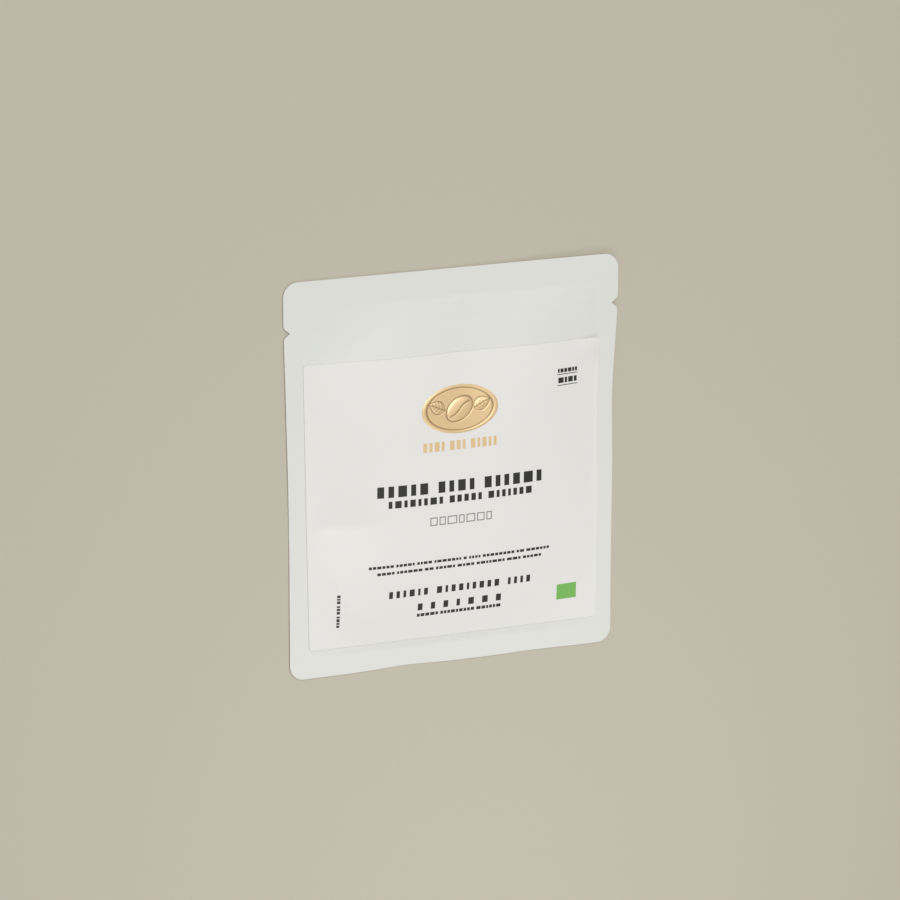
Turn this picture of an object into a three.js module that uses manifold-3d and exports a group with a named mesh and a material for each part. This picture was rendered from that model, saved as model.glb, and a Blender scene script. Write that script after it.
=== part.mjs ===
// A flat heat-sealed pouch that holds one coffee brew bag, with a large paper label on its front.
// It lies on its back with the label up: x runs across it, y from its bottom seal to its tear-off
// end, and z up from the surface that it rests on. The origin is under its middle. Sizes are in
// millimetres. Heights along the pouch are measured from its bottom edge and called up.

import * as THREE from 'three';
import { mergeVertices } from 'three/addons/utils/BufferGeometryUtils.js';
import Module from 'manifold-3d';

// The outline, cut from flat film
const POUCH_LENGTH = 160;
const POUCH_WIDTH = 138.8; // where the filling draws the sides in
const HEADER_WIDTH = 141.4; // at the tear-off end, where the film keeps its full width
const DRAW_IN_FROM = 96; // up the sides, from here to there, the width grows to the header's
const DRAW_IN_TO = 148;
const LEFT_BOWS = [ // where a side stands in, or out where the depth is below 0
  { up: 104, depth: -0.35, spread: 12 },
  { up: 54, depth: 0.3, spread: 18 },
  { up: 14, depth: 0.15, spread: 14 },
];
const RIGHT_BOWS = [
  { up: 104, depth: 0.3, spread: 12 },
  { up: 72, depth: -0.25, spread: 14 },
];
const CORNER_RADIUS = 6;
const RIGHT_EXCESS = 0.003; // how much longer the right side is than the rest, as a share
const NOTCH_UP = 140; // the tear notches, one on each side
const NOTCH_DEPTH = 2.6;
const NOTCH_MOUTH = 4.2;
const NOTCH_SHOULDER = 0.9; // how far the rounding of the notch's mouth reaches

// The seals and the filling
const SEAL_THICKNESS = 0.4; // both films, welded
const SEAL_REST_HEIGHT = 0.6; // middle of the welded rim over the surface it rests on
const SIDE_SEAL = 8;
const BOTTOM_SEAL = 8;
const TOP_SEAL = 11;
const POCKET_X = POUCH_WIDTH / 2 - SIDE_SEAL;
const POCKET_LOW = BOTTOM_SEAL;
const POCKET_HIGH = POUCH_LENGTH - TOP_SEAL;
const FRONT_CROWN = 5.6; // how far the brew bag and the air lift the front film
const BACK_CROWN = 5.8; // how far they would push the back, if the floor weren't there
const PILLOW_SQUARENESS = { across: 2.5, along: 2.4 };
const PILLOW_SHOULDER = 1.1;

// Where the welded rim and the films leave the flat
const RIM_DIPS = [ // low at the bottom edge, which the filling also draws up there
  { x: -20, depth: 0.25, drawnUp: 0.6, spread: 9.5 },
  { x: 37, depth: 0.12, drawnUp: 0.26, spread: 8 },
];
const RIM_DIP_REACH = 7; // how far up they spread
const HEADER_RIDGE = { x: 66, up: 150, height: 1.6, spreadX: 26, spreadUp: 24 };
const SIDE_CREASE = { up: 60.5, depth: 2.2, valley: 1.2, above: 10, below: 10, from: -24, to: -46 };
const CREASE_RIM_SHARE = 0.12; // how much of the crease runs on through the side seal
const SWELLS = [ // where the front film stands fuller, or lies hollow where the height is below 0
  { x: -45, up: 34, height: 1.5, spreadX: 15, spreadUp: 15 }, // settled coffee under the crease
  { x: -27, up: 112, height: 1.2, spreadX: 14, spreadUp: 18 },
  { x: 7, up: 122, height: -1, spreadX: 10, spreadUp: 16 },
  { x: 35, up: 114, height: 0.8, spreadX: 12, spreadUp: 20 },
  { x: -44, up: 142, height: -0.9, spreadX: 12, spreadUp: 12 },
];
const FULL_SHARE_CROWN = 4; // crown of a cushion over 1 mm high wherever these show fully

// The label, a separate sheet of paper stuck on the front film a little out of square
const LABEL_CORNERS = {
  lowLeft: [-61.2, 11.3],
  lowRight: [62.9, 11.0],
  highRight: [62.7, 127.0],
  highLeft: [-62.8, 126.8],
};
const LABEL_CORNER_RADIUS = 1.5;
const LABEL_THICKNESS = 0.2;
const GLUE_GAP = 0.1;

// Facets
const CELL = 5; // largest cell of the films' grid
const ARC_STEPS = 6; // segments to a rounded corner
const BOTTOM_STEPS = 40; // segments to the bottom edge
const SIDE_STEPS = 20; // segments to a drawn-in side
const GRID_MARGIN = 1; // how far the untrimmed films reach past the outline
const CUTTER_HEIGHT = 40; // of the outlines' upright cutters, well over the pack's depth

const wasm = await Module();
wasm.setup();

const bell = (distance, spread) => Math.exp((-distance * distance) / (2 * spread * spread));

const easeBetween = (value, start, end) => THREE.MathUtils.smoothstep(
  (value - start) / (end - start), 0, 1);

// Height of a soft round hill, or of a hollow, at a point
const hill = ({ x: atX, up: atUp, height, spreadX, spreadUp }, x, up) => (
  height * bell(x - atX, spreadX) * bell(up - atUp, spreadUp));

// Half the pouch's width at a height up one side
function halfWidth(up, bows) {
  const grown = easeBetween(up, DRAW_IN_FROM, DRAW_IN_TO);
  const bow = bows.reduce((sum, place) => sum + place.depth * bell(up - place.up, place.spread), 0);
  return THREE.MathUtils.lerp(POUCH_WIDTH, HEADER_WIDTH, grown) / 2 - bow;
}

// One side of the outline above its lower corner's rounding, from low to high, with its tear notch
function sidePoints(bows) {
  const inset = NOTCH_DEPTH * (2 * NOTCH_SHOULDER) / NOTCH_MOUTH;
  const rows = [];
  for (let n = 0; n <= SIDE_STEPS; n++) {
    const up = THREE.MathUtils.lerp(CORNER_RADIUS, POUCH_LENGTH - CORNER_RADIUS, n / SIDE_STEPS);
    const clear = Math.abs(up - NOTCH_UP) > NOTCH_MOUTH / 2 + 2 * NOTCH_SHOULDER;
    if (clear) rows.push([up, 0]);
  }
  for (const side of [-1, 1]) {
    const mouth = NOTCH_UP + side * NOTCH_MOUTH / 2;
    rows.push([mouth + side * NOTCH_SHOULDER, 0]);
    rows.push([mouth, inset / 4]);
    rows.push([mouth - side * NOTCH_SHOULDER, inset]);
  }
  rows.push([NOTCH_UP, NOTCH_DEPTH]);
  rows.sort((a, b) => a[0] - b[0]);
  return rows.map(([up, cut]) => new THREE.Vector2(halfWidth(up, bows) - cut, up));
}

// How far the filling draws the bottom edge up
const bottomEdge = (x) => RIM_DIPS.reduce(
  (sum, dip) => sum + dip.drawnUp * bell(x - dip.x, dip.spread), 0);

// A point of the outline, moved along the pouch for its longer right side
function withRightExcess(point) {
  const middle = POUCH_LENGTH / 2;
  const longer = 1 + RIGHT_EXCESS * easeBetween(point.x, 0, POUCH_WIDTH / 2);
  return new THREE.Vector2(point.x, middle + (point.y - middle) * longer);
}

// The pouch's outline: drawn-in sides with tear notches, a straight top and four round corners
function pouchOutline() {
  const right = sidePoints(RIGHT_BOWS);
  const left = sidePoints(LEFT_BOWS).map((p) => new THREE.Vector2(-p.x, p.y)).reverse();
  const low = CORNER_RADIUS;
  const high = POUCH_LENGTH - CORNER_RADIUS;
  const centreX = (up, bows) => halfWidth(up, bows) - CORNER_RADIUS;
  const startX = -centreX(low, LEFT_BOWS);
  const endX = centreX(low, RIGHT_BOWS);
  const outline = new THREE.Shape();
  outline.moveTo(startX, 0);
  for (let n = 1; n < BOTTOM_STEPS; n++) {
    const x = THREE.MathUtils.lerp(startX, endX, n / BOTTOM_STEPS);
    outline.lineTo(x, bottomEdge(x));
  }
  outline.lineTo(endX, 0);
  outline.absarc(endX, low, CORNER_RADIUS, -Math.PI / 2, 0);
  right.slice(1, -1).forEach((p) => outline.lineTo(p.x, p.y));
  outline.absarc(centreX(high, RIGHT_BOWS), high, CORNER_RADIUS, 0, Math.PI / 2);
  outline.absarc(-centreX(high, LEFT_BOWS), high, CORNER_RADIUS, Math.PI / 2, Math.PI);
  left.slice(1, -1).forEach((p) => outline.lineTo(p.x, p.y));
  outline.absarc(startX, low, CORNER_RADIUS, Math.PI, Math.PI * 1.5);
  return new THREE.Shape(outline.getPoints(ARC_STEPS).map(withRightExcess));
}

// The label's outline, with a small rounding at each corner
function labelOutline() {
  const corners = Object.values(LABEL_CORNERS).map(([x, up]) => new THREE.Vector2(x, up));
  const outline = new THREE.Shape();
  corners.forEach((corner, n) => {
    const before = corners[(n + corners.length - 1) % corners.length];
    const after = corners[(n + 1) % corners.length];
    const toBefore = before.clone().sub(corner).setLength(LABEL_CORNER_RADIUS);
    const toAfter = after.clone().sub(corner).setLength(LABEL_CORNER_RADIUS);
    const start = corner.clone().add(toBefore);
    const end = corner.clone().add(toAfter);
    if (n === 0) outline.moveTo(start.x, start.y);
    else outline.lineTo(start.x, start.y);
    outline.quadraticCurveTo(corner.x, corner.y, end.x, end.y);
  });
  outline.closePath();
  return outline;
}

// A soft cushion over the pocket inside the seals, with no height at its edges
function pillow(x, up, crown) {
  const across = Math.abs(x) / POCKET_X;
  const along = Math.abs(2 * up - POCKET_LOW - POCKET_HIGH) / (POCKET_HIGH - POCKET_LOW);
  if (across >= 1 || along >= 1) return 0;
  const shape = (1 - across ** PILLOW_SQUARENESS.across) * (1 - along ** PILLOW_SQUARENESS.along);
  return crown * shape ** PILLOW_SHOULDER;
}

// Depth of the sideways crease that runs in from the left edge, a valley with a rounded floor
function sideCrease(x, up) {
  const beyond = up - SIDE_CREASE.up;
  const distance = Math.hypot(beyond, SIDE_CREASE.valley) - SIDE_CREASE.valley;
  const reach = beyond > 0 ? SIDE_CREASE.above : SIDE_CREASE.below;
  const acrossFade = easeBetween(x, SIDE_CREASE.from, SIDE_CREASE.to);
  return SIDE_CREASE.depth * Math.exp(-distance / reach) * acrossFade;
}

// Height of the middle of the welded films, which dips along the bottom edge and at the crease
function rimHeight(x, up) {
  let height = SEAL_REST_HEIGHT - CREASE_RIM_SHARE * sideCrease(x, up);
  for (const dip of RIM_DIPS) {
    height -= dip.depth * bell(x - dip.x, dip.spread) * bell(up, RIM_DIP_REACH);
  }
  return height + hill(HEADER_RIDGE, x, up);
}

// What the swells and the crease add to the front film's cushion, nothing at the seals
function unevenness(x, up) {
  const share = Math.min(1, pillow(x, up, FULL_SHARE_CROWN));
  const swell = SWELLS.reduce((sum, place) => sum + hill(place, x, up), 0);
  return share * (swell - (1 - CREASE_RIM_SHARE) * sideCrease(x, up));
}

function frontHeight(x, up) {
  const film = rimHeight(x, up) + SEAL_THICKNESS / 2;
  return film + pillow(x, up, FRONT_CROWN) + unevenness(x, up);
}

// The back film lies flat on the surface wherever the filling would push it lower
function backHeight(x, up) {
  const film = rimHeight(x, up) - SEAL_THICKNESS / 2;
  return Math.max(0, film - pillow(x, up, BACK_CROWN));
}

// Grid lines through every named border, with equal cells no larger than CELL between them
function gridLines(borders) {
  const lines = [borders[0]];
  for (let n = 1; n < borders.length; n++) {
    const start = borders[n - 1];
    const cells = Math.ceil((borders[n] - start) / CELL);
    for (let k = 1; k <= cells; k++) lines.push(start + (borders[n] - start) * k / cells);
  }
  return lines;
}

const marginX = HEADER_WIDTH / 2 + GRID_MARGIN;
const columns = gridLines([-marginX, -POCKET_X, RIM_DIPS[0].x, RIM_DIPS[1].x, POCKET_X, marginX]);
const rows = gridLines([-GRID_MARGIN, POCKET_LOW, SIDE_CREASE.up, POCKET_HIGH,
  POUCH_LENGTH + GRID_MARGIN]);

// Wraps vertices and triangles as a solid that can be joined and cut
const toSolid = (positions, triangles) => new wasm.Manifold(new wasm.Mesh({
  numProp: 3,
  vertProperties: Float32Array.from(positions),
  triVerts: Uint32Array.from(triangles),
}));

// An untrimmed sheet over the whole grid between two surfaces, each a function of x and up
function sheetSolid(upper, lower) {
  const wide = columns.length;
  const layer = wide * rows.length;
  const positions = [];
  for (const surface of [upper, lower]) {
    for (const up of rows) {
      for (const x of columns) positions.push(x, up - POUCH_LENGTH / 2, surface(x, up));
    }
  }
  const triangles = [];
  const quad = (a, b, c, d) => triangles.push(a, b, c, a, c, d);
  for (let r = 0; r + 1 < rows.length; r++) {
    for (let c = 0; c + 1 < wide; c++) {
      const a = r * wide + c;
      quad(a, a + 1, a + 1 + wide, a + wide);
      triangles.push(layer + a, layer + a + 1 + wide, layer + a + 1);
      triangles.push(layer + a, layer + a + wide, layer + a + 1 + wide);
    }
  }
  const last = layer - wide;
  for (let c = 0; c + 1 < wide; c++) {
    quad(layer + c, layer + c + 1, c + 1, c);
    quad(last + c, last + c + 1, layer + last + c + 1, layer + last + c);
  }
  for (let r = 0; r + 1 < rows.length; r++) {
    const a = r * wide;
    const b = a + wide - 1;
    quad(a, a + wide, layer + a + wide, layer + a);
    quad(layer + b, layer + b + wide, b + wide, b);
  }
  return toSolid(positions, triangles);
}

// A straight upright cutter of an outline, tall enough to pass through every sheet
function outlineCutter(outline) {
  const geometry = new THREE.ExtrudeGeometry(outline, {
    depth: CUTTER_HEIGHT, steps: 1, bevelEnabled: false, curveSegments: ARC_STEPS,
  });
  geometry.translate(0, -POUCH_LENGTH / 2, -CUTTER_HEIGHT / 2);
  geometry.deleteAttribute('normal');
  geometry.deleteAttribute('uv');
  const merged = mergeVertices(geometry);
  return toSolid(merged.attributes.position.array, merged.index.array);
}

// A named mesh of a sheet trimmed to its outline
function trimmedSheet(name, upper, lower, outline, material) {
  const solid = sheetSolid(upper, lower).intersect(outlineCutter(outline));
  const { vertProperties, triVerts } = solid.getMesh();
  const geometry = new THREE.BufferGeometry();
  geometry.setAttribute('position', new THREE.BufferAttribute(vertProperties, 3));
  geometry.setIndex(new THREE.BufferAttribute(triVerts, 1));
  geometry.computeVertexNormals();
  const mesh = new THREE.Mesh(geometry, material);
  mesh.name = name;
  return mesh;
}

// The filled pouch: two matt white films, welded all round
function makePouch() {
  const film = new THREE.MeshStandardMaterial({ color: 0xdcddd6, roughness: 0.55, metalness: 0 });
  return trimmedSheet('pouch', frontHeight, backHeight, pouchOutline(), film);
}

// The paper label, which follows the front film
function makeLabel() {
  const paper = new THREE.MeshStandardMaterial({ color: 0xe4e2dd, roughness: 0.7, metalness: 0 });
  const underside = (x, up) => frontHeight(x, up) + GLUE_GAP;
  const face = (x, up) => underside(x, up) + LABEL_THICKNESS;
  return trimmedSheet('label', face, underside, labelOutline(), paper);
}

const group = new THREE.Group();
group.add(makePouch(), makeLabel());

export default group;
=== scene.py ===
import math
import random

import bmesh
import bpy
from bpy.props import FloatProperty, FloatVectorProperty, IntProperty, PointerProperty
from mathutils import Matrix, Vector


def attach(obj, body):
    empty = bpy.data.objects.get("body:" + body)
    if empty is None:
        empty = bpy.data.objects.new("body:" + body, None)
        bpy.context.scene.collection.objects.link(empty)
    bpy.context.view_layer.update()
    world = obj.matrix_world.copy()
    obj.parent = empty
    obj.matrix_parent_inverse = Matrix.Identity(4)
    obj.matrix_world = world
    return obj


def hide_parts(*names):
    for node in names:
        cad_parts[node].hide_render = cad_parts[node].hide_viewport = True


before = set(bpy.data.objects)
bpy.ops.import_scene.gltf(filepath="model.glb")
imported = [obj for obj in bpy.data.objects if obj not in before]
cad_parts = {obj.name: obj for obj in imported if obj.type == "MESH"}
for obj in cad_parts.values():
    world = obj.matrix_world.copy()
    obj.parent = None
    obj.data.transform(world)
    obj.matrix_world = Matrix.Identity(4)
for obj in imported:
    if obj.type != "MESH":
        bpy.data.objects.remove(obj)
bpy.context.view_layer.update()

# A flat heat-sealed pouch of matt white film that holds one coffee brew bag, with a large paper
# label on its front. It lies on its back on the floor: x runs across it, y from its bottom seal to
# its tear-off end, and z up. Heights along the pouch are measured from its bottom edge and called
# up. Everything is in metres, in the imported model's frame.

bl_info = {
    "name": "Coffee Brew Bag",
    "version": (1, 0, 0),
    "blender": (4, 5, 0),
    "location": "View3D > Sidebar > Brew Bag",
    "description": "Builds a filled brew bag pouch with its label and print, and a studio for it",
    "category": "Add Mesh",
}

MM = 0.001

# The pouch's outline
POUCH_LENGTH = 160 * MM
HEADER_WIDTH = 141.4 * MM
POUCH_WIDTH = 138.8 * MM  # where the filling draws the sides in
DRAW_IN_FROM = 96 * MM  # up the sides, from here to there, the width grows to the header's
DRAW_IN_TO = 148 * MM
LEFT_BOWS = (  # where a side stands in, or out below 0, as up, depth and spread
    (104 * MM, -0.35 * MM, 12 * MM),
    (54 * MM, 0.3 * MM, 18 * MM),
    (14 * MM, 0.15 * MM, 14 * MM),
)
RIGHT_BOWS = (
    (104 * MM, 0.3 * MM, 12 * MM),
    (72 * MM, -0.25 * MM, 14 * MM),
)
CORNER_RADIUS = 6 * MM
RIGHT_EXCESS = 0.003  # how much longer the right side is than the rest, as a share
NOTCH_UP = 140 * MM  # the tear notches, one on each side
NOTCH_DEPTH = 2.6 * MM
NOTCH_MOUTH = 4.2 * MM
NOTCH_SHOULDER = 0.9 * MM
NOTCH_PULL = 6 * MM  # how far in the mesh follows a notch
NOTCH_FINENESS = 3  # how many times smaller the mesh's steps are beside a notch

# The seals and the filling
SEAL_THICKNESS = 0.4 * MM  # both films
SEAL_REST_HEIGHT = 0.6 * MM  # of the middle of the welded rim
SIDE_WELD = 8 * MM  # widths of the welds
BOTTOM_WELD = 8 * MM
TOP_WELD = 11 * MM
POCKET_X = POUCH_WIDTH / 2 - SIDE_WELD  # the pocket's edges, inside the welds
POCKET_LOW = BOTTOM_WELD
POCKET_HIGH = POUCH_LENGTH - TOP_WELD
FRONT_CROWN = 5.6 * MM  # how far the filling pushes each film out, before the floor stops it
BACK_CROWN = 5.8 * MM
PILLOW_SQUARENESS = (2.5, 2.4)  # across and along
PILLOW_SHOULDER = 1.1

# Where the welded rim and the films leave the flat
RIM_DIPS = (  # x, depth, how far the edge is drawn up there, and spread
    (-20 * MM, 0.25 * MM, 0.6 * MM, 9.5 * MM),
    (37 * MM, 0.12 * MM, 0.26 * MM, 8 * MM),
)
RIM_DIP_REACH = 7 * MM  # how far up they spread
BOTTOM_PULL = 9 * MM  # how far up the mesh follows the drawn edge
HEADER_RIDGE_X = 66 * MM  # the right end of the header stands up a little
HEADER_RIDGE_UP = 150 * MM
HEADER_RIDGE_HEIGHT = 1.6 * MM
HEADER_RIDGE_SPREAD = (26 * MM, 24 * MM)  # across and along
CREASE_UP = 60.5 * MM  # a crease runs in sideways from the left edge
CREASE_DEPTH = 2.2 * MM
CREASE_VALLEY = 1.2 * MM  # rounding of its floor
CREASE_REACH = (10 * MM, 10 * MM)  # below and above
CREASE_FROM = -24 * MM  # the x where it starts and the x from which on it is full
CREASE_TO = -46 * MM
CREASE_RIM_SHARE = 0.12  # how much of it runs on through the side seal
SWELLS = (  # where the front film stands fuller or lies hollow: x, up, height and both spreads
    (-45 * MM, 34 * MM, 1.5 * MM, 15 * MM, 15 * MM),  # settled coffee under the crease
    (-27 * MM, 112 * MM, 1.2 * MM, 14 * MM, 18 * MM),
    (7 * MM, 122 * MM, -1.0 * MM, 10 * MM, 16 * MM),
    (35 * MM, 114 * MM, 0.8 * MM, 12 * MM, 20 * MM),
    (-44 * MM, 142 * MM, -0.9 * MM, 12 * MM, 12 * MM),
)
# The swells and the crease show fully where a cushion with this crown is over 1 mm high
FULL_SHARE_CROWN = 4 * MM
RIPPLES = ((0.5, 1, 0), (0.3, 1.7, 1), (0.2, 0.61, 2))  # share, pace and start of three waves

# The label: its corners as x and up, from the low left one on, anticlockwise
LABEL_CORNERS = (
    Vector((-61.2, 11.3)) * MM,
    Vector((62.9, 11.0)) * MM,
    Vector((62.7, 127.0)) * MM,
    Vector((-62.8, 126.8)) * MM,
)
LABEL_SIZE = Vector((125, 115)) * MM  # before it is laid a little out of square
LABEL_RADIUS = 1.5 * MM
LABEL_THICKNESS = 0.2 * MM
GLUE_GAP = 0.1 * MM
LIFT_REACH = 11 * MM  # how far along the label its loose corner lifts

# The print, in millimetres: each row is its middle x, its middle up, its width, its height, the
# gap between two blocks and the number of blocks in each word
TITLE_ROW = (1.4, 73.8, 70.4, 4.6, 1.7, (5, 4, 6))
SUBTITLE_ROW = (1.5, 68.5, 61.4, 2.9, 1.1, (8, 5, 7))
SPACED_ROW = (1.9, 31.3, 61.2, 2.9, 1.5, (6, 9, 4))
WIDE_ROW = (1.9, 24.9, 36.0, 2.9, 3.6, (7,))
SMALL_ROWS = (
    (1.6, 43.4, 78.0, 1.1, 0.4, (6, 5, 4, 7, 1, 4, 8, 2, 6)),
    (1.6, 40.6, 71.0, 1.1, 0.4, (4, 6, 2, 5, 4, 7, 3, 5)),
    (1.8, 21.4, 36.2, 1.3, 0.4, (5, 9, 6)),
)
OUTLINE_ROW = (1.4, 60.0, 26.4, 3.4, 0.8, (7,))
FOIL_ROW = (0.8, 90.3, 31.4, 3.8, 0.9, (4, 3, 5))
TURNED_ROW = (26.8, 49.6, 13.6, 1.3, 0.35, (4, 3, 3))  # first its middle up, then how far left
CORNER_ROWS = (
    (48.3, 115.2, 8.9, 1.6, 0.35, (6,)),
    (48.3, 111.3, 8.6, 2.2, 0.5, (4,)),
)
CORNER_RULES = (113.7, 109.3)  # how far up two thin rules lie
CORNER_RULE = (48.2, 9.3, 0.3)  # their middle x, length and thickness
GREEN_MARK = (49.2, 23.5, 8.8, 6.4)  # its middle x and up, its width and its height
OUTLINE_STROKE = 0.42
BLOCK_WIDTHS = (0.6, 1.4)  # narrowest and widest block of a row, against the usual one
WORD_GAP = 2.6  # between two words, in gaps between blocks
PRINT_CELL = 1.5 * MM  # largest facet of a printed mark, so that it follows the label

# The foil emblem: an oval field with a bean between two leaves
EMBLEM_PLACE = Vector((0.9, 104.6)) * MM
EMBLEM_SIZE = Vector((32.8, 19.2)) * MM
EMBLEM_CELL = 0.24 * MM
BEAN_HALF = (5.8, 4.0)  # in millimetres, as all of the emblem's relief
BEAN_TURN = math.radians(32)
BEAN_DOME = 0.45
BEAN_LINE_AT = 1.08  # where the line round the bean runs, against its edge
BEAN_GROOVE_BEND = 0.14  # how far the groove swings to each side, against the bean's half width
BEAN_GROOVE_WIDTH = 1.5  # in widths of a usual line
BEAN_GROOVE_END = (0.97, 0.87)  # where the groove is gone and where it shows fully
LEAF_FROM = 6.5  # from the emblem's middle to where a leaf starts
LEAF_HALF = (3.5, 2.3)
LEAF_TURN = math.radians(24)
LEAF_DOME = 0.22
LEAF_BLUNTNESS = 0.8  # of its two ends
LEAF_TAPER = 0.25  # how much narrower it grows towards its tip
LEAF_LINE_GAP = 0.2  # from its edge to the line round it
LEAF_MARGIN = 1.1  # how far past its ends the line reaches, against its half length
VEIN_STEP = 1.5
VEIN_SLANT = 0.8
VEIN_WIDTH = 1 / 1.5  # in widths of a usual line
# how deep the veins are sunk and how much shade is painted in them
VEIN_DARKNESS = 0.8
VEIN_FADE = 0.5  # how soon the veins show fully, in from the leaf's edge
BORDER_AT = 0.87  # of the way out to the emblem's edge
BORDER_SLOPE = (0.84, 0.92)  # where the step up to the border starts and ends
BORDER_STEP = 0.12  # how far the field inside the border is sunk
ROUNDING_FROM = 0.95  # where the border's outer edge starts to fall
LINE_WIDTH = 0.34
LINE_DEPTH = 0.12

# The cut edges of the two sheets
SHARP_EDGE = math.radians(50)  # an edge that turns by more than this is rounded
FILM_EDGE_FACETS = 2
LABEL_EDGE_FACETS = 1

# The finishes: how far noise moves a colour, as a share of it, and a roughness, and how many finer
# layers the noise has
FILM_MOTTLE = 0.015
PAPER_MOTTLE = 0.015
INK_MOTTLE = 0.08
FOIL_MOTTLE = 0.04
FLOOR_MOTTLE = 0.01
ROUGHNESS_SPREAD = 0.05
PAPER_ROUGHNESS_SPREAD = 0.04
FILM_GRAIN_LAYERS = 2.0
USUAL_LAYERS = 3.0
PAPER_LAYERS = 4.0

# The stage
FLOOR_HALF = 4.0  # half the side of the floor
CAMERA_RANGE = 20.0  # how far the camera sees
PICTURE_WIDTH = 900  # in pixels
PICTURE_SHIFT = (-2.11, 16.31)  # right and up, in pixels


def bell(distance, spread):
    """A soft bump that is 1 at no distance."""
    return math.exp(-distance * distance / (2 * spread * spread))


def ease(value):
    """A smooth step from 0 to 1 as the value goes from 0 to 1."""
    held = min(1, max(0, value))
    return held * held * (3 - 2 * held)


def ease_between(value, start, end):
    """A smooth step from 0 at the start to 1 at the end."""
    return ease((value - start) / (end - start))


def spread_places(borders, cells):
    """Places through every border, with equal steps no larger than the cell of each stretch."""
    places = [borders[0]]
    for start, end, cell in zip(borders, borders[1:], cells):
        count = math.ceil((end - start) / cell)
        places += [start + (end - start) * n / count for n in range(1, count + 1)]
    return places


# ---------------------------------------------------------------- the pouch's form


def half_width(x, up):
    """Half the pouch's width, on the side of x and at a height up it, without the notches."""
    grown = ease_between(up, DRAW_IN_FROM, DRAW_IN_TO)
    bows = RIGHT_BOWS if x > 0 else LEFT_BOWS
    bow = sum(depth * bell(up - at, spread) for at, depth, spread in bows)
    return (POUCH_WIDTH + (HEADER_WIDTH - POUCH_WIDTH) * grown) / 2 - bow


def notch_cut(up):
    """How deep the tear notch cuts into the side at a height."""
    slope = NOTCH_DEPTH / (NOTCH_MOUTH / 2)
    inside = NOTCH_MOUTH / 2 - abs(up - NOTCH_UP)
    if inside >= NOTCH_SHOULDER:
        return slope * inside
    if inside <= -NOTCH_SHOULDER:
        return 0
    return slope * (inside + NOTCH_SHOULDER) ** 2 / (4 * NOTCH_SHOULDER)


def pillow(x, up, crown):
    """A soft cushion over the pocket inside the seals, with no height at its edges."""
    across = abs(x) / POCKET_X
    along = abs(2 * up - POCKET_LOW - POCKET_HIGH) / (POCKET_HIGH - POCKET_LOW)
    if across >= 1 or along >= 1:
        return 0
    square_across, square_along = PILLOW_SQUARENESS
    shape = (1 - across**square_across) * (1 - along**square_along)
    return crown * shape**PILLOW_SHOULDER


def side_crease(x, up):
    """Depth of the sideways crease that runs in from the left edge, with a rounded floor."""
    beyond = up - CREASE_UP
    distance = math.hypot(beyond, CREASE_VALLEY) - CREASE_VALLEY
    across_fade = ease_between(x, CREASE_FROM, CREASE_TO)
    return CREASE_DEPTH * math.exp(-distance / CREASE_REACH[beyond > 0]) * across_fade


def rim_height(x, up):
    """Height of the middle of the welded films, which dips at the bottom edge and the crease."""
    dips = sum(depth * bell(x - at, wide) for at, depth, _, wide in RIM_DIPS)
    dips *= bell(up, RIM_DIP_REACH)
    wide, long = HEADER_RIDGE_SPREAD
    ridge = HEADER_RIDGE_HEIGHT * bell(x - HEADER_RIDGE_X, wide) * bell(up - HEADER_RIDGE_UP, long)
    return SEAL_REST_HEIGHT - dips + ridge - CREASE_RIM_SHARE * side_crease(x, up)


def unevenness(x, up):
    """What the swells and the crease add to the front film's cushion."""
    share = min(1, pillow(x, up, FULL_SHARE_CROWN) / MM)
    swell = sum(
        height * bell(x - at_x, wide) * bell(up - at_up, long)
        for at_x, at_up, height, wide, long in SWELLS
    )
    return share * (swell - (1 - CREASE_RIM_SHARE) * side_crease(x, up))


def front_height(x, up):
    """Height of the front film, without its ripples and its weld line."""
    film = rim_height(x, up) + SEAL_THICKNESS / 2
    return film + pillow(x, up, FRONT_CROWN) + unevenness(x, up)


def back_height(x, up):
    """Height of the back film, which lies flat wherever the filling presses it on the floor."""
    return rim_height(x, up) - SEAL_THICKNESS / 2 - pillow(x, up, BACK_CROWN)


def ripple(along, step):
    """Uneven waves about 0, from three that never fall in step."""
    turn = 2 * math.pi * along / step
    return sum(share * math.sin(pace * turn + start) for share, pace, start in RIPPLES)


def inside_pocket(x, up):
    """Distance in from the nearest welded side and from the nearest welded end, or below 0."""
    return POCKET_X - abs(x), min(up - POCKET_LOW, POCKET_HIGH - up)


def seal_puckers(x, up, look):
    """Small ripples that run in from the seals, where the film is gathered by the filling."""
    from_side, from_end = inside_pocket(x, up)
    if from_side <= 0 or from_end <= 0:
        return 0
    start = ease(min(from_side, from_end) / look.pucker_start)
    ends = ripple(x, look.pucker_step) * math.exp(-from_end / look.pucker_reach)
    sides = ripple(up, look.pucker_step) * math.exp(-from_side / look.pucker_reach)
    return look.pucker_depth * start * (ends + sides)


def weld_groove(x, up, look):
    """The narrow line pressed into the film along the inner edge of the seals."""
    from_side, from_end = inside_pocket(x, up)
    return look.weld_depth * bell(min(from_side, from_end), look.weld_width / 2)


def on_disc(across, along):
    """A point of the square from -1 to 1, moved so that the square becomes a disc."""
    return across * math.sqrt(1 - along * along / 2), along * math.sqrt(1 - across * across / 2)


def round_off(x, y, half_x, half_y, radius):
    """A point of a rectangle about the origin, moved so that its square corners become round."""
    across = (abs(x) - half_x + radius) / radius
    along = (abs(y) - half_y + radius) / radius
    if across <= 0 or along <= 0:
        return x, y
    across, along = on_disc(across, along)
    new_x = math.copysign(half_x - radius + radius * across, x)
    new_y = math.copysign(half_y - radius + radius * along, y)
    return new_x, new_y


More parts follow.
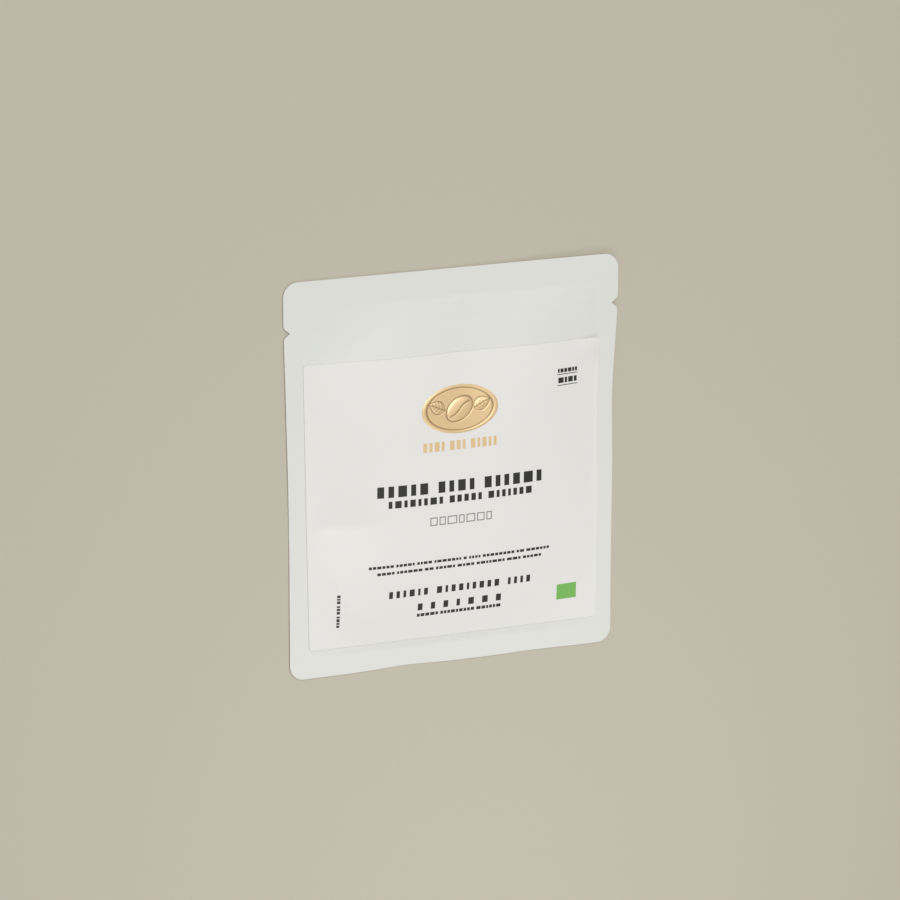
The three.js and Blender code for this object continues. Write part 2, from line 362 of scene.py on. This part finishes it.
def outline_place(x, up):
    """Where a point of the straight rectangle of film lies on the real outline."""
    wide = half_width(x, up)
    scaled = x * wide / (HEADER_WIDTH / 2)
    round_x, round_y = round_off(
        scaled, up - POUCH_LENGTH / 2, wide, POUCH_LENGTH / 2, CORNER_RADIUS
    )
    pull = ease((abs(round_x) - wide + NOTCH_PULL) / NOTCH_PULL)
    cut = notch_cut(up) * pull
    drawn = sum(lift * bell(round_x - at, spread) for at, _, lift, spread in RIM_DIPS)
    drawn *= ease(1 - up / BOTTOM_PULL)
    round_y *= 1 + RIGHT_EXCESS * ease(round_x / wide)
    return round_x - math.copysign(cut, x), round_y + POUCH_LENGTH / 2 + drawn


def label_face(x, up, look):
    """Height of the label's printed face, with its lifted corner."""
    lift = look.corner_lift
    lift *= ease((x - LABEL_CORNERS[2].x) / LIFT_REACH + 1)
    lift *= ease((up - LABEL_CORNERS[2].y) / LIFT_REACH + 1)
    return front_height(x, up) + GLUE_GAP + LABEL_THICKNESS + lift


def label_place(x, y):
    """Where a point of the straight label, measured from its middle, lies on the pouch."""
    round_x, round_y = round_off(x, y, LABEL_SIZE.x / 2, LABEL_SIZE.y / 2, LABEL_RADIUS)
    across = round_x / LABEL_SIZE.x + 0.5
    along = round_y / LABEL_SIZE.y + 0.5
    low = LABEL_CORNERS[0].lerp(LABEL_CORNERS[1], across)
    high = LABEL_CORNERS[3].lerp(LABEL_CORNERS[2], across)
    return low.lerp(high, along)


# ---------------------------------------------------------------- meshes


def in_frame(x, up, height):
    """A point of the pack in the frame, whose origin lies under the pouch's middle."""
    return x, up - POUCH_LENGTH / 2, height


def grid_over(bm, columns, rows):
    """Adds a flat grid with its lines at the given places, and returns its vertices."""
    made = bmesh.ops.create_grid(bm, x_segments=len(columns) - 1, y_segments=len(rows) - 1, size=1)
    for vert in made["verts"]:
        column = round((vert.co.x + 1) / 2 * (len(columns) - 1))
        row = round((vert.co.y + 1) / 2 * (len(rows) - 1))
        vert.co = (columns[column], rows[row], 0)
    return made["verts"]


def each_once(parts):
    """Parts of a mesh without repeats, in the order in which they first come."""
    return list(dict.fromkeys(parts))


def faces_round(verts):
    """The faces that meet at any of the vertices."""
    return each_once(face for vert in verts for face in vert.link_faces)


def thicken(bm, verts):
    """Gives a sheet a second side and its edges, and returns the new upper and the old vertices."""
    extruded = bmesh.ops.extrude_face_region(bm, geom=faces_round(verts))["geom"]
    upper = [item for item in extruded if isinstance(item, bmesh.types.BMVert)]
    return upper, verts


def soften_rim(bm, width, facets):
    """Rounds the sharp edges all round a sheet."""
    bm.normal_update()
    sharp = [edge for edge in bm.edges if edge.calc_face_angle(0) > SHARP_EDGE]
    bmesh.ops.bevel(
        bm, geom=sharp, offset=width, segments=facets, profile=0.5, affect="EDGES",
        clamp_overlap=True, material=-1,
    )


def finish_piece(bm, name, material, smooth=True):
    """Turns a bmesh into a piece that rides with the pack, and returns it."""
    bmesh.ops.recalc_face_normals(bm, faces=bm.faces)
    for face in bm.faces:
        face.smooth = smooth
    mesh = bpy.data.meshes.new(name)
    bm.to_mesh(mesh)
    bm.free()
    mesh.materials.append(material)
    piece = bpy.data.objects.new(name, mesh)
    bpy.context.scene.collection.objects.link(piece)
    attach(piece, "root")
    return piece


def pouch_mesh(look):
    """The filled pouch as one closed mesh: front film, back film and their welded rim."""
    wide = HEADER_WIDTH / 2
    strip = look.rim_strip
    columns = spread_places([-wide, strip - wide, wide - strip, wide], [look.cell] * 3)
    notch_reach = NOTCH_MOUTH / 2 + NOTCH_SHOULDER
    notch_low = NOTCH_UP - notch_reach
    notch_high = NOTCH_UP + notch_reach
    borders = [0, strip, notch_low, NOTCH_UP, notch_high, POUCH_LENGTH - strip, POUCH_LENGTH]
    fine = look.cell / NOTCH_FINENESS
    cells = [look.cell, look.cell, fine, fine, look.cell, look.cell]
    rows = spread_places(borders, cells)
    bm = bmesh.new()
    front, back = thicken(bm, grid_over(bm, columns, rows))
    for verts, is_front in ((front, True), (back, False)):
        for vert in verts:
            x, up = outline_place(vert.co.x, vert.co.y)
            pressed = weld_groove(x, up, look)
            gathered = seal_puckers(x, up, look)
            if is_front:
                height = front_height(x, up) + gathered - pressed
            else:
                height = max(0, back_height(x, up) + gathered + pressed)
            vert.co = in_frame(x, up, height)
    soften_rim(bm, look.rim_round, FILM_EDGE_FACETS)
    return bm


def label_mesh(look):
    """The paper label, a thin sheet that follows the front film."""
    half = LABEL_SIZE / 2
    strip = look.rim_strip
    columns = spread_places([-half.x, strip - half.x, half.x - strip, half.x], [look.cell] * 3)
    rows = spread_places([-half.y, strip - half.y, half.y - strip, half.y], [look.cell] * 3)
    bm = bmesh.new()
    face, underside = thicken(bm, grid_over(bm, columns, rows))
    for verts, below in ((face, 0), (underside, LABEL_THICKNESS)):
        for vert in verts:
            x, up = label_place(vert.co.x, vert.co.y)
            vert.co = in_frame(x, up, label_face(x, up, look) - below)
    soften_rim(bm, look.label_round, LABEL_EDGE_FACETS)
    return bm


def lay_on_label(bm, verts, look, ink):
    """Thickens flat marks drawn at x and up, and lays them on the label's face."""
    upper, lower = thicken(bm, verts)
    for marks, height in ((upper, ink.ink_height), (lower, -ink.ink_height)):
        for vert in marks:
            x, up = vert.co.x, vert.co.y
            vert.co = in_frame(x, up, label_face(x, up, look) + height)


def block_verts(bm, middle, size):
    """A flat block at a middle x and up, in facets small enough to follow the label."""
    places = [
        spread_places([at - wide / 2, at + wide / 2], [PRINT_CELL])
        for at, wide in zip(middle, size)
    ]
    return grid_over(bm, *places)


def row_blocks(row, seed):
    """The middle and the size of each block of a row: a word is a run of uneven ones."""
    middle, up, width, height, gap, words = row
    draw = random.Random(seed)
    shares = [[draw.uniform(*BLOCK_WIDTHS) for _ in range(count)] for count in words]
    word_gap = WORD_GAP * gap
    gaps = gap * sum(count - 1 for count in words) + word_gap * (len(words) - 1)
    unit = (width - gaps) / sum(map(sum, shares))
    at = middle - width / 2
    blocks = []
    for word in shares:
        for share in word:
            wide = share * unit
            blocks.append((((at + wide / 2) * MM, up * MM), (wide * MM, height * MM)))
            at += wide + gap
        at += word_gap - gap
    return blocks


def print_row(bm, row, seed, look, ink):
    """Prints a row of plain blocks where a line of text would be."""
    for middle, size in row_blocks(row, seed):
        lay_on_label(bm, block_verts(bm, middle, size), look, ink)


def print_turned_row(bm, row, seed, look, ink):
    """Prints a row of plain blocks that is turned by a right angle and runs up the label."""
    for (x, up), (wide, tall) in row_blocks(row, seed):
        lay_on_label(bm, block_verts(bm, (-up, x), (tall, wide)), look, ink)


def print_outlined_row(bm, row, seed, look, ink):
    """Prints a row of empty boxes with thin outlines."""
    for middle, size in row_blocks(row, seed):
        verts = block_verts(bm, middle, size)
        bmesh.ops.dissolve_faces(bm, faces=faces_round(verts))
        whole = list(verts[0].link_faces)
        stroke = bmesh.ops.inset_region(
            bm, faces=whole, thickness=OUTLINE_STROKE * MM, use_boundary=True, use_even_offset=True
        )["faces"]
        bmesh.ops.delete(bm, geom=whole, context="FACES_ONLY")
        lay_on_label(bm, each_once(vert for face in stroke for vert in face.verts), look, ink)


# ---------------------------------------------------------------- the emblem


def line(distance):
    """How fully a groove line, and the shade painted in it, shows at a distance from its middle, in
    millimetres.
    """
    return bell(distance, LINE_WIDTH / 2)


def turned(x, y, angle):
    """A point seen from axes that are turned by an angle."""
    return x * math.cos(angle) + y * math.sin(angle), y * math.cos(angle) - x * math.sin(angle)


def bean_relief(x, y):
    """The bean's height and how much shade is painted in its grooves: a dome with a curved groove
    along it.
    """
    along, across = turned(x, y, BEAN_TURN)
    out = math.hypot(along / BEAN_HALF[0], across / BEAN_HALF[1])
    edge = line((out - BEAN_LINE_AT) * BEAN_HALF[1])
    if out >= 1:
        return 0, edge
    swing = BEAN_GROOVE_BEND * BEAN_HALF[1] * math.sin(math.pi * along / BEAN_HALF[0])
    groove = line((across - swing) / BEAN_GROOVE_WIDTH) * ease_between(out, *BEAN_GROOVE_END)
    return BEAN_DOME * math.sqrt(1 - out * out), max(edge, groove)


def leaf_relief(x, y):
    """A leaf's height and how much shade is painted in its grooves: a low dome with a midrib and
    side veins.
    """
    along, across = turned(abs(x) - LEAF_FROM, y, LEAF_TURN)
    way = along / LEAF_HALF[0] - 1
    if abs(way) >= LEAF_MARGIN:
        return 0, 0
    half = LEAF_HALF[1] * max(0, 1 - way * way) ** LEAF_BLUNTNESS * (1 - LEAF_TAPER * way)
    edge = line(abs(across) - half - LEAF_LINE_GAP)
    if abs(across) >= half:
        return 0, edge
    share = across / half
    from_vein = (along - VEIN_SLANT * abs(across)) % VEIN_STEP - VEIN_STEP / 2
    veins = line(from_vein / VEIN_WIDTH) * ease((half - abs(across)) / VEIN_FADE)
    return LEAF_DOME * (1 - share * share), max(edge, line(across), VEIN_DARKNESS * veins)


def emblem_relief(x, y):
    """Height of the foil in millimetres, and how far its grooves are sunk and darkened with painted
    shade, from 0 to 1.
    """
    half_wide, half_tall = (size / MM / 2 for size in EMBLEM_SIZE)
    out = math.hypot(x / half_wide, y / half_tall)
    border = line((out - BORDER_AT) * half_tall)
    bean, bean_line = bean_relief(x, y)
    leaf, leaf_line = leaf_relief(x, y)
    dark = max(border, bean_line, leaf_line)
    rim = BORDER_STEP * ease_between(out, *BORDER_SLOPE)
    rounding = BORDER_STEP * ease_between(out, ROUNDING_FROM, 1)
    return LINE_DEPTH + rim - rounding + max(bean, leaf) - LINE_DEPTH * dark, dark


def emblem_mesh(bm, look, ink):
    """The foil emblem: an oval field with a bean between two leaves in low relief."""
    steps = [2 * EMBLEM_CELL / size for size in EMBLEM_SIZE]
    columns, rows = (spread_places([-1, 1], [step]) for step in steps)
    painted_groove_shade = bm.verts.layers.float.new("painted_groove_shade")
    upper, lower = thicken(bm, grid_over(bm, columns, rows))
    for verts, is_face in ((upper, True), (lower, False)):
        for vert in verts:
            across, along = on_disc(vert.co.x, vert.co.y)
            across *= EMBLEM_SIZE.x / 2
            along *= EMBLEM_SIZE.y / 2
            height, dark = emblem_relief(across / MM, along / MM)
            over = ink.ink_height + height * MM if is_face else -ink.ink_height
            x, up = across + EMBLEM_PLACE.x, along + EMBLEM_PLACE.y
            vert.co = in_frame(x, up, label_face(x, up, look) + over)
            # painted shade: how far the foil's colour is darkened in the grooves
            vert[painted_groove_shade] = dark


# ---------------------------------------------------------------- materials


class Wire:
    """One output of a shader node. Python arithmetic on it adds Math nodes."""

    def __init__(self, tree, socket):
        self.tree = tree
        self.socket = socket

    def joined(self, operation, *operands):
        """Adds a Math node that works on wires and numbers."""
        node = self.tree.nodes.new("ShaderNodeMath")
        node.operation = operation
        for entry, operand in zip(node.inputs, operands):
            plug(self.tree, entry, operand)
        return Wire(self.tree, node.outputs[0])

    def __add__(self, other):
        return self.joined("ADD", self, other)

    def __radd__(self, other):
        return self.joined("ADD", other, self)

    def __mul__(self, other):
        return self.joined("MULTIPLY", self, other)

    def __rmul__(self, other):
        return self.joined("MULTIPLY", other, self)


def plug(tree, entry, value):
    """Sets an input socket, or links it to a wire."""
    if isinstance(value, Wire):
        tree.links.new(value.socket, entry)
    else:
        entry.default_value = value


def uneven(value, spread, noise):
    """A value that noise moves up and down by as much as the spread."""
    return value - spread + 2 * spread * noise


class Finish:
    """A material in the making, with one method for every kind of node."""

    def __init__(self, name):
        self.material = bpy.data.materials.new(name)
        self.material.use_nodes = True
        self.tree = self.material.node_tree
        self.shader = self.tree.nodes["Principled BSDF"]

    def node(self, kind, settings, sockets, output=0):
        """Adds a node, sets it up, fills its sockets and returns one output."""
        node = self.tree.nodes.new("ShaderNode" + kind)
        for name, value in settings.items():
            setattr(node, name, value)
        for key, value in sockets.items():
            plug(self.tree, node.inputs[key], value)
        return Wire(self.tree, node.outputs[output])

    def noise(self, size, layers=USUAL_LAYERS):
        """Noise about 0.5 whose features have a size in metres, with finer layers on them."""
        place = self.node("TexCoord", {}, {}, "Object")
        sockets = {"Vector": place, "Scale": 1 / size, "Detail": layers}
        return self.node("TexNoise", {}, sockets, "Fac")

    def blend(self, low, high, share):
        """A colour between two colours."""
        # the Mix node has a set of sockets for each kind of value: these are the ones for colours
        return self.node("Mix", {"data_type": "RGBA"}, {0: share, 6: low, 7: high}, 2)

    def mottled(self, tint, spread, noise):
        """A colour that noise makes lighter and darker by as much as the spread."""
        darkest, lightest = (
            (*(channel * amount for channel in tint[:3]), 1) for amount in (1 - spread, 1 + spread)
        )
        return self.blend(darkest, lightest, noise)

    def relief(self, height, distance):
        """A normal from a height that goes from 0 to 1, over a depth in metres."""
        return self.node("Bump", {}, {"Distance": distance, "Height": height}, "Normal")

    def surface(self, **sockets):
        """Sets the shader's own sockets and returns the material."""
        for name, value in sockets.items():
            plug(self.tree, self.shader.inputs[name.replace("_", " ")], value)
        return self.material


def film_finish(look):
    """Matt white film with a faint cloudiness and a fine, soft grain."""
    finish = Finish("matt_film")
    cloud = finish.noise(look.cloud_size)
    grain = finish.noise(look.grain_size, FILM_GRAIN_LAYERS)
    return finish.surface(
        Base_Color=finish.mottled(look.film_colour, FILM_MOTTLE, cloud),
        Roughness=uneven(look.film_roughness, ROUGHNESS_SPREAD, grain),
        Normal=finish.relief(grain, look.grain_depth),
    )


def paper_finish(look):
    """Coated label paper with a very fine fibre grain."""
    finish = Finish("label_paper")
    fibre = finish.noise(look.fibre_size, PAPER_LAYERS)
    return finish.surface(
        Base_Color=finish.mottled(look.paper_colour, PAPER_MOTTLE, fibre),
        Roughness=uneven(look.paper_roughness, PAPER_ROUGHNESS_SPREAD, fibre),
        Normal=finish.relief(fibre, look.fibre_depth),
    )


def ink_finish(name, tint, look, ink):
    """Printing ink, a little uneven with the paper under it."""
    finish = Finish(name)
    fibre = finish.noise(look.fibre_size)
    return finish.surface(
        Base_Color=finish.mottled(tint, INK_MOTTLE, fibre),
        Roughness=uneven(ink.ink_roughness, ROUGHNESS_SPREAD, fibre),
        Specular_IOR_Level=ink.ink_shine,
        Normal=finish.relief(fibre, look.fibre_depth),
    )


def foil_finish(look, ink):
    """Stamped gold foil, with painted shade that darkens its grooves to dark brown, and the paper's
    grain under it.
    """
    finish = Finish("gold_foil")
    fibre = finish.noise(look.fibre_size)
    gold = finish.mottled(ink.gold, FOIL_MOTTLE, fibre)
    painted_groove_shade = finish.node("Attribute", {"attribute_name": "painted_groove_shade"}, {}, "Fac")
    return finish.surface(
        # painted shade: the groove attribute blends the gold towards a dark brown
        Base_Color=finish.blend(gold, ink.groove_shade_colour, painted_groove_shade * ink.groove_shade_share),
        Metallic=ink.foil_metal,
        Roughness=uneven(ink.foil_roughness, ROUGHNESS_SPREAD, fibre),
        Normal=finish.relief(fibre, look.fibre_depth),
    )


def floor_finish(stage):
    """Matt backdrop card with a barely visible grain."""
    finish = Finish("floor_card")
    grain = finish.noise(stage.floor_grain)
    return finish.surface(
        Base_Color=finish.mottled(stage.floor_colour, FLOOR_MOTTLE, grain),
        Roughness=uneven(stage.floor_roughness, ROUGHNESS_SPREAD, grain),
    )


# ---------------------------------------------------------------- settings


def length(name, description, default):
    """A setting that is a length."""
    return FloatProperty(name=name, description=description, default=default, unit="LENGTH")


def colour(name, description, default):
    """A setting that is a colour with its alpha."""
    return FloatVectorProperty(
        name=name, description=description, default=default, size=4, subtype="COLOR", min=0, max=1
    )


def factor(name, description, default):
    """A setting from 0 to 1."""
    return FloatProperty(
        name=name, description=description, default=default, min=0, max=1, subtype="FACTOR"
    )


class PackSettings(bpy.types.PropertyGroup):
    """Sizes and colours of the pouch and its label"""

    cell: length("Mesh cell", "Largest step of the films' and the label's grid", 1.0 * MM)
    rim_strip: length("Rim strip", "Width of the outermost step of a sheet", 0.3 * MM)
    rim_round: length("Rim rounding", "Rounding of the film's cut edge", 0.1 * MM)
    label_round: length("Label rounding", "Rounding of the label's cut edge", 0.04 * MM)
    pucker_depth: length("Pucker depth", "Depth of the ripples beside the seals", 0.12 * MM)
    pucker_step: length("Pucker step", "Usual distance between two ripples", 11 * MM)
    pucker_reach: length("Pucker reach", "How far the ripples run in", 6 * MM)
    pucker_start: length("Pucker start", "How soon the ripples reach full depth", 3 * MM)
    weld_depth: length("Weld line depth", "Depth of the line inside the seals", 0.06 * MM)
    weld_width: length("Weld line width", "Width of the line inside the seals", 1.2 * MM)
    corner_lift: length("Corner lift", "How far the label's loose corner lifts", 1.4 * MM)
    film_colour: colour("Film", "Colour of the pouch", (0.73, 0.74, 0.70, 1))
    film_roughness: factor("Film roughness", "Roughness of the film", 0.5)
    cloud_size: length("Cloud size", "Size of the film's broad unevenness", 30 * MM)
    grain_size: length("Grain size", "Size of the film's fine grain", 0.5 * MM)
    grain_depth: length("Grain depth", "Depth of the film's fine grain", 0.01 * MM)
    paper_colour: colour("Paper", "Colour of the label", (0.788, 0.778, 0.750, 1))
    paper_roughness: factor("Paper roughness", "Roughness of the label", 0.6)
    fibre_size: length("Fibre size", "Size of the paper's grain", 0.25 * MM)
    fibre_depth: length("Fibre depth", "Depth of the paper's grain", 0.006 * MM)


class PrintSettings(bpy.types.PropertyGroup):
    """Colours and thickness of the print"""

    ink_height: length("Ink height", "How far the ink stands on the paper", 0.02 * MM)
    seed: IntProperty(name="Seed", description="Seed of the widths of the blocks", default=7)
    dark: colour("Dark ink", "Colour of the main rows", (0.030, 0.032, 0.029, 1))
    grey: colour("Grey ink", "Colour of the outlined row", (0.25, 0.25, 0.24, 1))
    green: colour("Green ink", "Colour of the small mark", (0.20, 0.475, 0.115, 1))
    gold: colour("Gold foil", "Colour of the emblem", (0.91, 0.66, 0.36, 1))
    # painted shade for the emblem's grooves: its colour and how strongly it darkens them
    groove_shade_colour: colour("Groove shade", "Colour of the emblem's fine lines", (0.22, 0.13, 0.06, 1))
    groove_shade_share: factor("Engraving share", "How dark the fine lines are", 0.8)
    ink_roughness: factor("Ink roughness", "Roughness of the printed inks", 0.5)
    ink_shine: factor("Ink shine", "How strongly the inks reflect", 0.3)
    foil_metal: factor("Foil metal", "How metallic the foil is", 0.4)
    foil_roughness: factor("Foil roughness", "Roughness of the foil", 0.38)


class StageSettings(bpy.types.PropertyGroup):
    """The floor, the lights and the camera"""

    floor_colour: colour("Floor", "Colour of the floor", (0.535, 0.495, 0.402, 1))
    floor_grain: length("Floor grain", "Size of the floor's grain", 2 * MM)
    floor_roughness: factor("Floor roughness", "Roughness of the floor", 0.85)
    key_power: FloatProperty(
        name="Key light", description="Power of the large soft light", default=123.8, unit="POWER"
    )
    key_place: FloatVectorProperty(
        name="Key place", description="Where the key light hangs", default=(-0.33, 1.5, 3.65),
        subtype="TRANSLATION",
    )
    key_size: length("Key size", "Side of the square key light", 3.0)
    bounce_power: FloatProperty(
        name="Bounce", description="Power of the weak low light", default=0.27, unit="POWER"
    )
    bounce_place: FloatVectorProperty(
        name="Bounce place", description="Where the low light stands", default=(0.02, -0.25, 0.32),
        subtype="TRANSLATION",
    )
    bounce_size: length("Bounce size", "Side of the square low light", 0.2)
    fill: FloatProperty(name="Fill", description="Strength of the light all round", default=0.25)
    fill_colour: colour("Fill colour", "Colour of the light all round", (1, 0.99, 0.97, 1))
    pitch: FloatProperty(
        name="Pitch", description="How far the camera stands over the label's middle row",
        default=math.radians(15.055), subtype="ANGLE",
    )
    turn: FloatProperty(
        name="Turn", description="How far the camera stands to the pack's left",
        default=math.radians(23.339), subtype="ANGLE",
    )
    distance: length("Distance", "From the camera to the pack's middle", 1.8)
    lens: FloatProperty(
        name="Lens", description="Focal length in millimetres", default=182.9,
        subtype="DISTANCE_CAMERA",
    )


# ---------------------------------------------------------------- the stage


def lay_floor(scene, stage):
    """Lays the plain floor under the pack."""
    bm = bmesh.new()
    bmesh.ops.create_grid(bm, x_segments=1, y_segments=1, size=FLOOR_HALF)
    mesh = bpy.data.meshes.new("floor")
    bm.to_mesh(mesh)
    bm.free()
    mesh.materials.append(floor_finish(stage))
    floor = bpy.data.objects.new("floor", mesh)
    scene.collection.objects.link(floor)


def hang_light(scene, name, place, size, power):
    """Hangs a square light at a place, facing the pack."""
    lamp = bpy.data.lights.new(name, "AREA")
    lamp.shape = "SQUARE"
    lamp.size = size
    lamp.energy = power
    light = bpy.data.objects.new(name, lamp)
    at = Vector(place)
    facing = at.to_track_quat("Z", "Y").to_matrix().to_4x4()
    light.matrix_world = Matrix.Translation(at) @ facing
    scene.collection.objects.link(light)


def light_room(scene, stage):
    """Sets the weak even light all round."""
    world = bpy.data.worlds.new("soft_room")
    world.use_nodes = True
    background = world.node_tree.nodes["Background"]
    background.inputs["Color"].default_value = stage.fill_colour
    background.inputs["Strength"].default_value = stage.fill
    scene.world = world


def place_camera(scene, stage):
    """Places the camera in front of the label, to the pack's left and a little over its middle."""
    back = Vector((
        -math.sin(stage.turn) * math.cos(stage.pitch),
        math.sin(stage.pitch),
        math.cos(stage.turn) * math.cos(stage.pitch),
    ))
    upward = (Vector((0, 1, 0)) - back.y * back).normalized()
    right = upward.cross(back)
    target = Vector((0, 0, SEAL_REST_HEIGHT))
    aim = Matrix((right, upward, back)).transposed().to_4x4()
    camera = bpy.data.objects.new("camera", bpy.data.cameras.new("camera"))
    camera.matrix_world = Matrix.Translation(target + back * stage.distance) @ aim
    camera.data.lens = stage.lens
    camera.data.shift_x, camera.data.shift_y = (shift / PICTURE_WIDTH for shift in PICTURE_SHIFT)
    camera.data.clip_end = CAMERA_RANGE
    scene.collection.objects.link(camera)
    scene.camera = camera


# ---------------------------------------------------------------- operators


class MakePouch(bpy.types.Operator):
    """Builds the filled film pouch"""

    bl_idname = "brew_bag.make_pouch"
    bl_label = "Make Pouch"

    def execute(self, context):
        look = context.scene.brew_bag_pack
        pouch = finish_piece(pouch_mesh(look), "film_pouch", film_finish(look))
        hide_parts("pouch")
        return {"FINISHED"}


class MakeLabel(bpy.types.Operator):
    """Builds the paper label"""

    bl_idname = "brew_bag.make_label"
    bl_label = "Make Label"

    def execute(self, context):
        look = context.scene.brew_bag_pack
        label = finish_piece(label_mesh(look), "paper_label", paper_finish(look))
        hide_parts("label")
        return {"FINISHED"}


class PrintRows(bpy.types.Operator):
    """Prints the rows of dark blocks, the outlined row and the corner mark"""

    bl_idname = "brew_bag.print_rows"
    bl_label = "Print Rows"

    def execute(self, context):
        look = context.scene.brew_bag_pack
        ink = context.scene.brew_bag_print
        dark = bmesh.new()
        rows = (TITLE_ROW, SUBTITLE_ROW, SPACED_ROW, WIDE_ROW, *SMALL_ROWS, *CORNER_ROWS)
        for number, row in enumerate(rows):
            print_row(dark, row, ink.seed + number, look, ink)
        print_turned_row(dark, TURNED_ROW, ink.seed, look, ink)
        middle, long, thick = CORNER_RULE
        for up in CORNER_RULES:
            verts = block_verts(dark, (middle * MM, up * MM), (long * MM, thick * MM))
            lay_on_label(dark, verts, look, ink)
        dark_ink = ink_finish("dark_ink", ink.dark, look, ink)
        finish_piece(dark, "print_dark", dark_ink, smooth=False)
        grey = bmesh.new()
        print_outlined_row(grey, OUTLINE_ROW, ink.seed, look, ink)
        grey_ink = ink_finish("grey_ink", ink.grey, look, ink)
        finish_piece(grey, "print_grey", grey_ink, smooth=False)
        return {"FINISHED"}


class PrintGreenMark(bpy.types.Operator):
    """Prints the small green field"""

    bl_idname = "brew_bag.print_green_mark"
    bl_label = "Print Green Mark"

    def execute(self, context):
        look = context.scene.brew_bag_pack
        ink = context.scene.brew_bag_print
        bm = bmesh.new()
        x, up, wide, tall = (value * MM for value in GREEN_MARK)
        lay_on_label(bm, block_verts(bm, (x, up), (wide, tall)), look, ink)
        green_ink = ink_finish("green_ink", ink.green, look, ink)
        finish_piece(bm, "print_green", green_ink, smooth=False)
        return {"FINISHED"}


class StampFoil(bpy.types.Operator):
    """Stamps the gold emblem and the row under it"""

    bl_idname = "brew_bag.stamp_foil"
    bl_label = "Stamp Foil"

    def execute(self, context):
        look = context.scene.brew_bag_pack
        ink = context.scene.brew_bag_print
        bm = bmesh.new()
        emblem_mesh(bm, look, ink)
        foil = foil_finish(look, ink)
        finish_piece(bm, "foil_emblem", foil)
        bm = bmesh.new()
        print_row(bm, FOIL_ROW, ink.seed, look, ink)
        finish_piece(bm, "foil_row", foil, smooth=False)
        return {"FINISHED"}


class SetStage(bpy.types.Operator):
    """Sets the floor, the lights and the camera"""

    bl_idname = "brew_bag.set_stage"
    bl_label = "Set Stage"

    def execute(self, context):
        scene = context.scene
        stage = scene.brew_bag_stage
        lay_floor(scene, stage)
        hang_light(scene, "key_light", stage.key_place, stage.key_size, stage.key_power)
        hang_light(scene, "bounce_light", stage.bounce_place, stage.bounce_size, stage.bounce_power)
        light_room(scene, stage)
        place_camera(scene, stage)
        scene.view_settings.view_transform = "Standard"
        return {"FINISHED"}


class BrewBagPanel(bpy.types.Panel):
    """Lists the steps that build the pack, and their settings"""

    bl_idname = "VIEW3D_PT_brew_bag"
    bl_label = "Coffee Brew Bag"
    bl_space_type = "VIEW_3D"
    bl_region_type = "UI"
    bl_category = "Brew Bag"

    def draw(self, context):
        for operator in OPERATORS:
            self.layout.operator(operator.bl_idname)
        for group, settings in SETTINGS.items():
            box = self.layout.box()
            for setting in settings.__annotations__:
                box.prop(getattr(context.scene, group), setting)


OPERATORS = (MakePouch, MakeLabel, PrintRows, PrintGreenMark, StampFoil, SetStage)
SETTINGS = {
    "brew_bag_pack": PackSettings,
    "brew_bag_print": PrintSettings,
    "brew_bag_stage": StageSettings,
}
CLASSES = (*SETTINGS.values(), *OPERATORS, BrewBagPanel)


def register():
    """Adds the classes and hangs the settings on the scene."""
    for cls in CLASSES:
        bpy.utils.register_class(cls)
    for group, settings in SETTINGS.items():
        setattr(bpy.types.Scene, group, PointerProperty(type=settings))


def unregister():
    """Takes away what register added."""
    for group in SETTINGS:
        delattr(bpy.types.Scene, group)
    for cls in reversed(CLASSES):
        bpy.utils.unregister_class(cls)


def main():
    """Builds the pack and its stage."""
    register()
    bpy.ops.brew_bag.make_pouch()
    bpy.ops.brew_bag.make_label()
    bpy.ops.brew_bag.print_rows()
    bpy.ops.brew_bag.print_green_mark()
    bpy.ops.brew_bag.stamp_foil()
    bpy.ops.brew_bag.set_stage()


if __name__ == "__main__":
    main()
